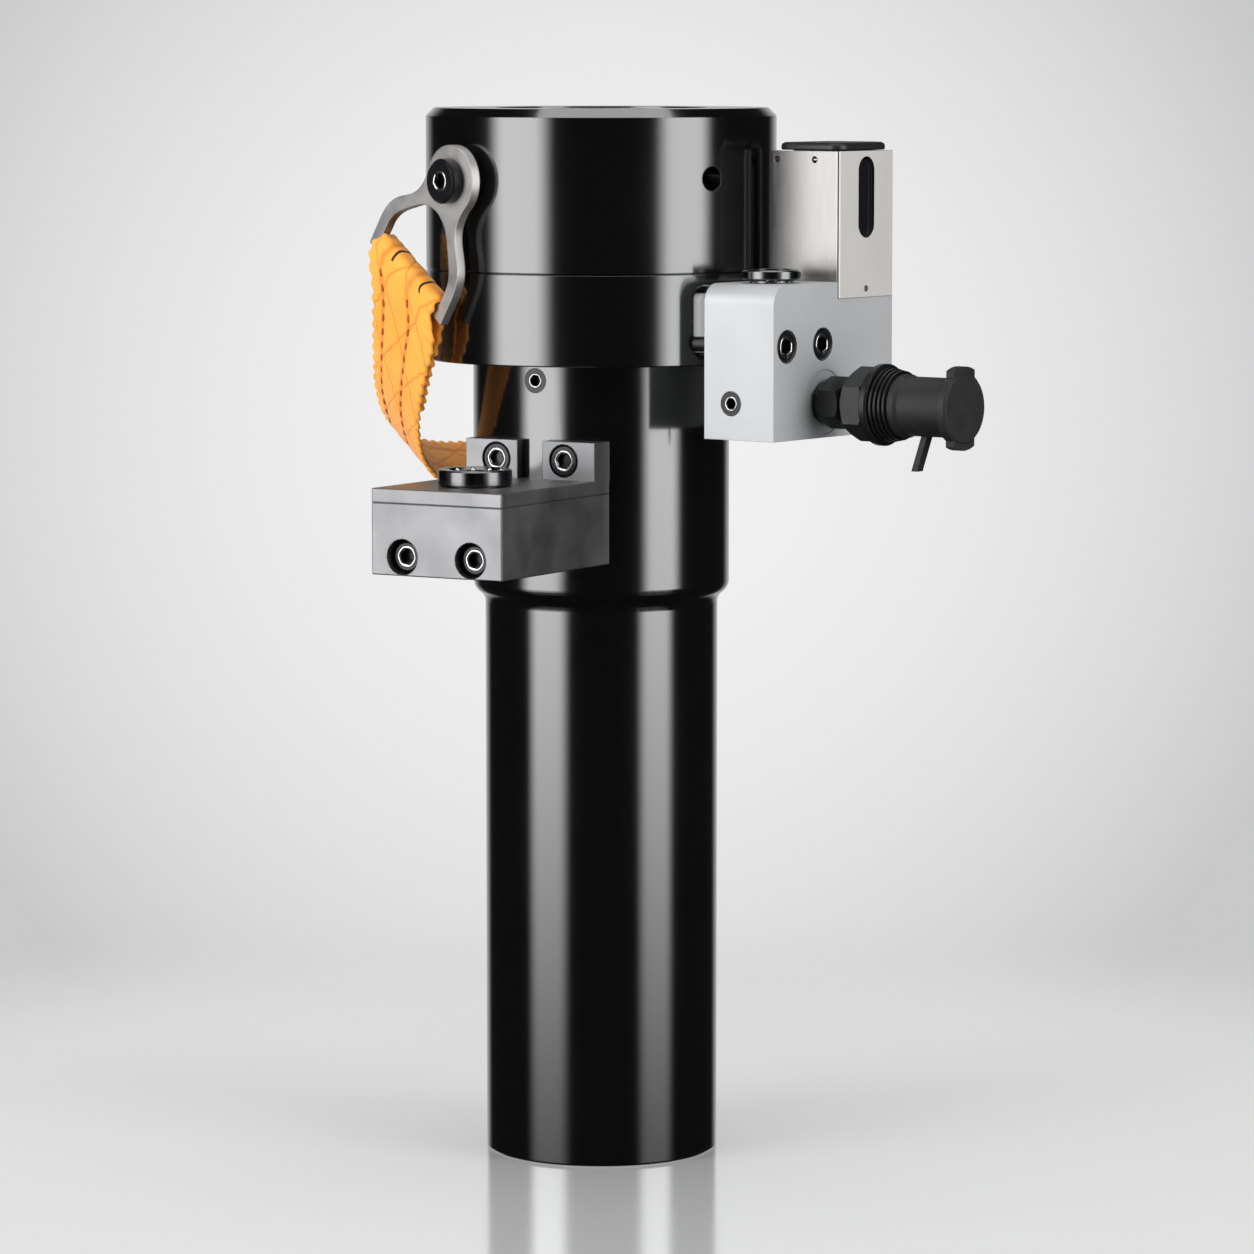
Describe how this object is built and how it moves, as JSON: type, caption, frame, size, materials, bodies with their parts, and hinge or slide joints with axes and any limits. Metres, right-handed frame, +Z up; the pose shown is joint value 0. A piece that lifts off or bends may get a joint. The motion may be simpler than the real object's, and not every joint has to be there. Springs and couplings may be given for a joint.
{
  "type": "hydraulic bolt tensioner",
  "caption": "Hydraulic bolt tensioner: long black tube with a wider round head, side gearbox for the nut socket, coupling block with quick connector and a swinging carrying strap.",
  "frame": {"origin": "centre of the round foot, in the plane where the tool stands on the flange", "axes": "+Z up along the tool and the bolt; +X out of the coupling block along the hose coupling; the gearbox points close to -Y"},
  "size_m": [0.2946, 0.2318, 0.45],
  "materials": {
    "gloss_black": "gloss black coating",
    "satin_steel": "satin ground steel",
    "aluminium": "satin anodised",
    "stainless_cover": "polished and brushed stainless",
    "stainless_hanger": "satin stainless with bright edges",
    "black_oxide": "oiled black oxide",
    "coupling_black": "black zinc plating",
    "black_rubber": "moulded rubber",
    "black_plastic": "moulded plastic",
    "dark_window": "dark polycarbonate",
    "polished_dark_steel": "polished dark steel",
    "bright_steel": "bright hardened steel",
    "gear_steel": "hardened gear steel",
    "machined_steel": "ground steel",
    "spring_steel": "phosphated spring steel",
    "bronze": "bearing bronze",
    "seal_polyurethane": "dark polyurethane",
    "orange_webbing": "stitched orange webbing"
  },
  "bodies": {
    "tool_body": {"bridge": "gloss_black", "cylinder_body": "gloss_black", "upper_housing": "gloss_black", "top_cover": "gloss_black", "top_cover_screws": "black_oxide", "disc_springs": "spring_steel", "thrust_washer": "bronze", "barrel_snap_ring": "spring_steel", "gearbox_housing": "satin_steel", "gearbox_front_screws": "black_oxide", "gearbox_cover_screws": "black_oxide", "gearbox_cover": "satin_steel", "gearbox_lug_screws": "black_oxide", "idler_axle": "bright_steel", "pinion_bushes": "bronze", "barrel_plug": "black_oxide", "manifold_block": "aluminium", "manifold_screws": "black_oxide", "port_plug": "black_oxide", "manifold_adapter_plate": "gloss_black", "valve_bonnet": "polished_dark_steel", "detent_balls": "bright_steel", "gauge_cover": "stainless_cover", "counter_window": "dark_window", "counter_capsule": "black_plastic", "gauge_lid": "black_plastic", "port_adapter": "coupling_black", "coupling_nipple": "coupling_black", "hanger_screws": "black_oxide", "hanger_spacers": "coupling_black"},
    "piston_ring": {"piston": "machined_steel", "piston_outer_seal": "seal_polyurethane", "piston_inner_seal": "seal_polyurethane"},
    "puller_nut": {"puller": "machined_steel"},
    "socket_drive": {"nut_socket": "gear_steel", "ring_gear": "gear_steel", "gear_retaining_ring": "spring_steel"},
    "idler": {"idler_gear": "gear_steel", "idler_bush": "bronze"},
    "pinion_drive": {"pinion": "gear_steel", "drive_collar": "polished_dark_steel", "collar_balls": "bright_steel"},
    "release_valve": {"release_knob": "polished_dark_steel", "valve_stem": "bright_steel"},
    "lock_ring": {"lock_ring": "coupling_black"},
    "dust_cap": {"dust_cap": "black_rubber"},
    "carrying_strap": {"hanger_front": "stainless_hanger", "hanger_back": "stainless_hanger", "carry_strap": "orange_webbing"}
  },
  "joints": [
    {"name": "piston_lift", "type": "slide", "parent": "tool_body", "child": "piston_ring", "axis": [0, 0, 1], "range_m": [0, 0.012], "stiffness_N_per_m": 20000, "deforming": ["disc_springs"]},
    {"name": "puller_turn", "type": "hinge", "parent": "piston_ring", "child": "puller_nut", "pos_m": [0, 0, 0.402], "axis": [0, 0, 1], "continuous": true},
    {"name": "socket_turn", "type": "hinge", "parent": "tool_body", "child": "socket_drive", "pos_m": [0, 0, 0.28], "axis": [0, 0, 1], "continuous": true},
    {"name": "idler_turn", "type": "hinge", "parent": "tool_body", "child": "idler", "pos_m": [0.00827, -0.06548, 0.28], "axis": [0, 0, 1], "continuous": true},
    {"name": "pinion_turn", "type": "hinge", "parent": "tool_body", "child": "pinion_drive", "pos_m": [0.01291, -0.10219, 0.28], "axis": [0, 0, 1], "continuous": true},
    {"name": "release_turn", "type": "hinge", "parent": "tool_body", "child": "release_valve", "pos_m": [0.09775, -0.01075, 0.38], "axis": [0, 0, 1], "range_deg": [0, 180]},
    {"name": "lock_ring_turn", "type": "hinge", "parent": "tool_body", "child": "lock_ring", "pos_m": [0.148, 0.003, 0.3284], "axis": [1, 0, 0], "range_deg": [0, 90]},
    {"name": "cap_pull", "type": "slide", "parent": "tool_body", "child": "dust_cap", "axis": [1, 0, 0], "range_m": [0, 0.03]},
    {"name": "strap_swing", "type": "hinge", "parent": "tool_body", "child": "carrying_strap", "pos_m": [0, 0, 0.4199], "axis": [0.2062, 0.9785, 0], "range_deg": [0, 147]}
  ],
  "couplings": [
    {"joint": "idler_turn", "follows": "socket_turn", "ratio": -2},
    {"joint": "pinion_turn", "follows": "socket_turn", "ratio": 2.9333}
  ]
}
